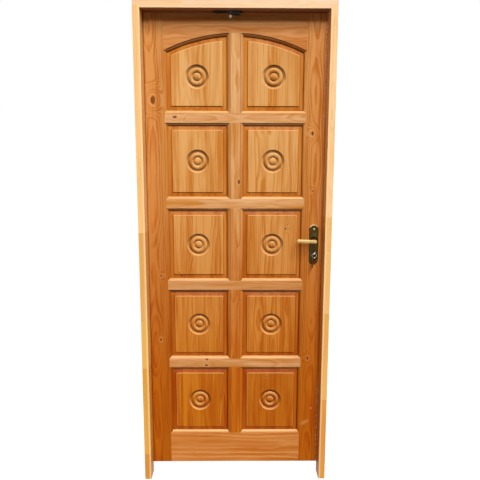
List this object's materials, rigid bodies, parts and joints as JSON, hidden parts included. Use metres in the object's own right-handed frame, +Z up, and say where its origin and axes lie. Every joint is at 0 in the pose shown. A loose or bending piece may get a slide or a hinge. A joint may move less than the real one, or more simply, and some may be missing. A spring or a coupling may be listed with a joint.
{
  "type": "solid wood door",
  "caption": "Panelled solid wood door leaf with an arched top rail and turned rosettes, hung in its rebated pine frame, with lever handle, mortice lock and key.",
  "frame": {"origin": "middle of the box that holds the closed door, at the jambs' feet", "axes": "+Z up, +Y away from the side with the reveal, the way the leaf opens, +X to the lock side"},
  "size_m": [0.834, 0.168, 2.105],
  "materials": {
    "frame_pine": "clear satin varnish on pale finger-jointed pine",
    "stile_pine": "honey-brown satin varnish, grain upright",
    "rail_pine": "honey-brown satin varnish, grain level",
    "panel_pine": "honey-brown satin varnish on edge-glued boards",
    "hinge_steel": "brassed steel",
    "lock_steel": "plain steel",
    "antique_bronze": "dark antique bronze, satin",
    "lever_brass": "worn antique brass",
    "key_nickel": "nickel plate",
    "spare_key_brass": "tarnished brass",
    "black_metal": "black satin"
  },
  "bodies": {
    "frame": {"head": "frame_pine", "hinge_jamb": "frame_pine", "lock_jamb": "frame_pine", "hinge_frame_leaf_1": "hinge_steel", "hinge_frame_leaf_2": "hinge_steel", "hinge_frame_leaf_3": "hinge_steel", "hinge_pin_1": "hinge_steel", "hinge_pin_2": "hinge_steel", "hinge_pin_3": "hinge_steel", "frame_hinge_screws": "lock_steel", "strike_plate": "lock_steel", "strike_screws": "lock_steel", "catch_keeper": "black_metal"},
    "leaf": {"hinge_stile": "stile_pine", "lock_stile": "stile_pine", "top_rail": "rail_pine", "rail_2": "rail_pine", "rail_3": "rail_pine", "rail_4": "rail_pine", "rail_5": "rail_pine", "bottom_rail": "rail_pine", "muntin_1": "stile_pine", "muntin_2": "stile_pine", "muntin_3": "stile_pine", "muntin_4": "stile_pine", "muntin_5": "stile_pine", "panel_left_1": "panel_pine", "panel_left_2": "panel_pine", "panel_left_3": "panel_pine", "panel_left_4": "panel_pine", "panel_left_5": "panel_pine", "panel_right_1": "panel_pine", "panel_right_2": "panel_pine", "panel_right_3": "panel_pine", "panel_right_4": "panel_pine", "panel_right_5": "panel_pine", "hinge_door_leaf_1": "hinge_steel", "hinge_door_leaf_2": "hinge_steel", "hinge_door_leaf_3": "hinge_steel", "leaf_hinge_screws": "lock_steel", "lock_case": "lock_steel", "lock_faceplate": "lock_steel", "faceplate_screws": "lock_steel", "front_plate": "antique_bronze", "rear_plate": "antique_bronze", "plate_screws": "antique_bronze", "cylinder": "black_metal", "cylinder_screw": "lock_steel", "catch_stud": "key_nickel"},
    "lever": {"front_lever": "lever_brass", "rear_lever": "lever_brass", "spindle": "lock_steel", "follower": "lock_steel"},
    "latch": {"latch_bolt": "lock_steel"},
    "bolt": {"dead_bolt": "lock_steel"},
    "key": {"key": "key_nickel", "cylinder_plug": "black_metal", "key_ring": "key_nickel", "spare_key": "spare_key_brass"}
  },
  "joints": [
    {"name": "leaf_swing", "type": "hinge", "parent": "frame", "child": "leaf", "pos_m": [-0.40125, 0.0325, 1.065], "axis": [0, 0, 1], "range_deg": [0, 110]},
    {"name": "lever_turn", "type": "hinge", "parent": "leaf", "child": "lever", "pos_m": [0.35, 0.006, 1.116], "axis": [0, -1, 0], "range_deg": [0, 40], "stiffness_Nm_per_rad": 1.5, "springref_deg": -17.19},
    {"name": "latch_slide", "type": "slide", "parent": "leaf", "child": "latch", "axis": [-1, 0, 0], "range_m": [0, 0.0106]},
    {"name": "key_turn", "type": "hinge", "parent": "leaf", "child": "key", "pos_m": [0.35, 0.006, 1.061], "axis": [0, 1, 0], "range_deg": [-37, 143]},
    {"name": "bolt_slide", "type": "slide", "parent": "leaf", "child": "bolt", "axis": [1, 0, 0], "range_m": [-0.0033, 0.0121]}
  ],
  "couplings": [
    {"joint": "latch_slide", "follows": "lever_turn", "m_per_rad": 0.01504},
    {"joint": "bolt_slide", "follows": "key_turn", "m_per_rad": 0.004808}
  ]
}
